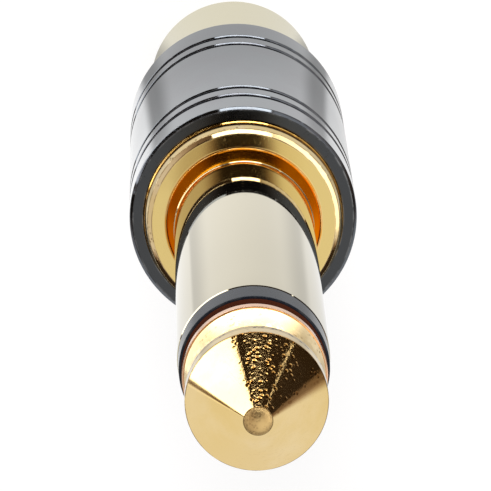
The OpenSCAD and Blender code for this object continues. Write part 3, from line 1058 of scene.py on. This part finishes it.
@dataclass
class Studio:
    """Floor, room, lamp and camera.

    Rings are in millimetres from the axis, sectors in degrees round it from the camera's side. In the metal the floor
    shows painted shade and light in these rings and sectors.
    """

    floor_radius: float = 56.0
    floor_corners: int = 128
    floor_colour: Colour = (0.9, 0.9, 0.91)
    floor_roughness: float = 0.9
    floor_glow: float = 1.14
    seen_glow: float = 0.66
    # Painted shade and light of the floor as the metal shows it: a level at the foot, rings round the axis and sectors
    # round it
    painted_foot_level: float = 0.81
    rings: tuple[Step, ...] = (
        Step(5, 8, 0.75),
        Step(8, 11.5, 1.05),
        Step(12, 16, 0.97),
        Step(16, 20, 0.76),
    )
    near_behind: float = 1.5
    near_painted_sectors: tuple[Step, ...] = (
        Step(-89, -77, 0.57),
        Step(-71, -54, 1),
        Step(-40, 40, 0.97),
        Step(50, 66, 0.57),
        Step(74, 84, 1.2),
    )
    far_behind: float = 1.0
    far_painted_sectors: tuple[Step, ...] = (
        Step(-98, -90, 0.76),
        Step(-88, -56, 1.02),
        Step(-40, 40, 0.92),
        Step(44, 78, 0.71),
        Step(82, 98, 0.9),
    )
    far_reach: tuple[float, float] = (10.0, 12.5)
    room_level: float = 0.85
    overhead_level: float = 0.02
    box_level_left: float = 0.66
    box_level_right: float = 1.0
    box_fade: float = 0.3
    box_rise: tuple[float, float] = (0.25, 0.35)
    gap_side: tuple[float, ...] = (32.0, 76.0, 1.0, 0.0)
    gap_deep: tuple[float, ...] = (0.0, 0.12, 1.0, 0.0)
    gap_rise: tuple[float, ...] = (0.45, 0.62)
    dark_tone: Colour = (1.0, 0.66, 0.46)
    toned_below: float = 0.9
    lamp_size: float = 130.0
    lamp_power: float = 1.0
    lamp_place: tuple[float, float, float] = (20.0, -230.0, 420.0)
    sensor: float = 36.0
    clip_near: float = 10.0
    clip_far: float = 10000.0
    lens: float = 393.3
    tilt: float = 14.57
    turn: float = -1.06
    nose_across: float = 0.51
    nose_down: float = 7.06
    nose_away: float = 213.26
    panels: tuple[Panel, ...] = (
        Panel(-190, 190, -2, 17, 1.5, 0.03),
        Panel(-90, -23.5, -20, 5.5, 1.5, 3.2),
        Panel(-90, -84.5, -20, 5.5, 1.5, 0.2),
        Panel(20, 85, 8, 17, 2, 0.9),
        Panel(70, 91, -24, 4, 3, 0.2, 6),
        Panel(-23.5, 79, -24, 8, 2.5, 0.03),
        Panel(46, 86, 4.5, 9, 1.5, 0.6),
        Panel(38.9, 40.4, -20, 8, 0.5, 1.8),
        Panel(-14, 19, 8.5, 14, 0.7, 6),
        Panel(-24, 24, 32.5, 37.5, 1, 3),
        Panel(42, 112, 43, 57, 5, 0.36, 20),
        Panel(-112, -42, 43, 57, 5, 0.3, 20),
        Panel(24, 110, 18.5, 35, 2, 1.8),
        Panel(-140, -60, -52, -30, 5, 1.6),
        Panel(-54, 44, -50, -26, 4, 3.6, 18),
    )

    def build(self) -> None:
        """Makes the floor, the room, the lamp and the camera."""
        self.floor()
        self.room()
        self.lamp()
        self.camera()

    def floor(self) -> None:
        """Makes the pale floor, which keeps the shadow and is clear from below; in the metal it shows painted shade
        and light.
        """
        clear_selection()
        radius = self.floor_radius * MM
        bpy.ops.mesh.primitive_circle_add(vertices=self.floor_corners, radius=radius, fill_type="NGON")
        floor = bpy.context.object
        floor.name = "floor"
        material = bpy.data.materials.new("floor_white")
        material.use_nodes = True
        recipe = Recipe(material.node_tree)
        nodes = material.node_tree.nodes
        shader = nodes["Principled BSDF"]
        shader.inputs["Base Color"].default_value = opaque(self.floor_colour)
        shader.inputs["Roughness"].default_value = self.floor_roughness
        shader.inputs["Specular IOR Level"].default_value = 0.0
        paths = recipe.add("LightPath").outputs
        mirrored = paths["Is Glossy Ray"]
        # Glossy rays see the floor at its painted level of shade and light
        shown = recipe.between(mirrored, self.floor_glow, self.floor_painted_light_and_shade(recipe))
        glow = recipe.fill(recipe.add("Emission"), ("Color", "Strength"), (opaque(WHITE_LIGHT), shown))
        seen = recipe.math("MAXIMUM", paths["Is Camera Ray"], paths["Is Transmission Ray"])
        seen = recipe.times(seen, self.seen_glow)
        above = recipe.shaded(recipe.math("MAXIMUM", seen, mirrored), shader, glow)
        below = recipe.add("NewGeometry").outputs["Backfacing"]
        surface = recipe.shaded(below, above, recipe.add("BsdfTransparent"))
        recipe.join(surface.outputs[0], nodes["Material Output"].inputs["Surface"])
        floor.data.materials.append(material)

    def floor_painted_light_and_shade(self, recipe: Recipe) -> Port:
        """Works out the painted shade and light that the floor shows in the metal: rings round the adapter and soft
        sectors.

        Args:
            recipe: The floor's tree.

        Returns:
            The level.
        """
        across, deep, _ = recipe.split(recipe.where())
        reach = recipe.times(recipe.flat_length(across, deep), PER_MM)
        level = self.stepped(recipe, reach, self.painted_foot_level, self.rings)
        around = recipe.azimuth(across, deep)
        near = self.stepped(recipe, around, self.near_behind, self.near_painted_sectors)
        far = self.stepped(recipe, around, self.far_behind, self.far_painted_sectors)
        return recipe.times(level, recipe.between(recipe.ramp(reach, *self.far_reach), near, far))

    @staticmethod
    def stepped(recipe: Recipe, place: Port, first: float, steps: tuple[Step, ...]) -> Port:
        """Chains soft steps.

        Args:
            recipe: The tree to work in.
            place: Distance or direction that the steps go by.
            first: Level before the first step.
            steps: The steps in order.

        Returns:
            The level at that place.
        """
        level: object = first
        for step in steps:
            level = recipe.between(recipe.ramp(place, step.start, step.end), level, step.level)
        return level

    def room(self) -> None:
        """Makes the pale room round the adapter, with its dark gaps."""
        world = bpy.data.worlds.new("room")
        bpy.context.scene.world = world
        world.use_nodes = True
        recipe = Recipe(world.node_tree)
        across, deep, up = recipe.split(recipe.where("Generated"))
        azimuth = recipe.azimuth(across, deep)
        elevation = recipe.times(recipe.math("ARCSINE", up), math.degrees(1))
        boxes = recipe.ramp(across, -self.box_fade, self.box_fade, self.box_level_right, self.box_level_left)
        room = recipe.between(recipe.ramp(up, *self.box_rise), self.room_level, boxes)
        level = recipe.between(self.overhead_gap(recipe, azimuth, deep, up), room, self.overhead_level)
        for panel in self.panels:
            level = recipe.between(self.panel_mask(recipe, panel, azimuth, elevation), level, panel.level)
        strength = recipe.math("MAXIMUM", level, recipe.add("LightPath").outputs["Is Camera Ray"])
        lit = recipe.ramp(strength, 0.0, self.toned_below)
        tone = recipe.blend(lit, opaque(self.dark_tone), opaque(WHITE_LIGHT))
        recipe.fill(world.node_tree.nodes["Background"], ("Color", "Strength"), (tone, strength))

    def overhead_gap(self, recipe: Recipe, azimuth: Port, deep: Port, up: Port) -> Port:
        """Returns 1 in the dark gap overhead, where the camera stands between the soft boxes, and 0 elsewhere."""
        side = recipe.ramp(recipe.math("ABSOLUTE", azimuth), *self.gap_side)
        return recipe.times(side, recipe.times(recipe.ramp(deep, *self.gap_deep), recipe.ramp(up, *self.gap_rise)))

    @staticmethod
    def panel_mask(recipe: Recipe, panel: Panel, azimuth: Port, elevation: Port) -> Port:
        """Returns 1 in a panel and 0 elsewhere, with directions in degrees."""
        wide = recipe.window(azimuth, panel.left, panel.right, panel.fade or panel.soft)
        return recipe.times(wide, recipe.window(elevation, panel.low, panel.high, panel.soft))

    def lamp(self) -> None:
        """Makes one large soft lamp, which draws the shadow on the floor and isn't seen in the metal."""
        data = bpy.data.lights.new("soft_box", "AREA")
        data.shape = "DISK"
        data.size = self.lamp_size * MM
        data.energy = self.lamp_power
        lamp = bpy.data.objects.new("soft_box", data)
        bpy.context.scene.collection.objects.link(lamp)
        lamp.location = Vector(self.lamp_place) * MM
        lamp.rotation_mode = "QUATERNION"
        lamp.rotation_quaternion = (-lamp.location).to_track_quat("-Z", "Y")
        lamp.visible_glossy = False

    def camera(self) -> None:
        """Makes the camera, placed from where the photograph shows the nose and which way the axis runs."""
        data = bpy.data.cameras.new("camera")
        data.lens = self.lens
        data.sensor_width = self.sensor
        data.clip_start = self.clip_near * MM
        data.clip_end = self.clip_far * MM
        camera = bpy.data.objects.new("camera", data)
        bpy.context.scene.collection.objects.link(camera)
        tilt, turn = math.radians(self.tilt), math.radians(self.turn)
        upward = Vector((-math.sin(turn), -math.sin(tilt) * math.cos(turn), math.cos(tilt) * math.cos(turn)))
        left = Vector((-1, 0, 0))
        east = (left - upward * left.dot(upward)).normalized()
        north = upward.cross(east)
        rotation = Matrix((east, north, upward))
        nose = Vector((0, 0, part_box("centre_rod")[1].z))
        seen = Vector((self.nose_across, -self.nose_down, -self.nose_away)) * MM
        camera.matrix_world = Matrix.Translation(nose - rotation @ seen) @ rotation.to_4x4()
        bpy.context.scene.camera = camera


def main() -> None:
    """Builds the whole adapter in order and reports each piece."""
    logging.basicConfig(level=logging.INFO, format="%(name)s: %(message)s")
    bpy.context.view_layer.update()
    bpy.context.scene.view_settings.view_transform = "Standard"
    looks = Wardrobe()
    for part in (Plug(), Case(), Socket(), InnerParts()):
        for piece in part.build(looks):
            log.info("%s: %s, %d faces", type(part).__name__, piece.name, len(piece.data.polygons))
    Studio().build()
    log.info("sizes written")


if __name__ == "__main__":
    main()
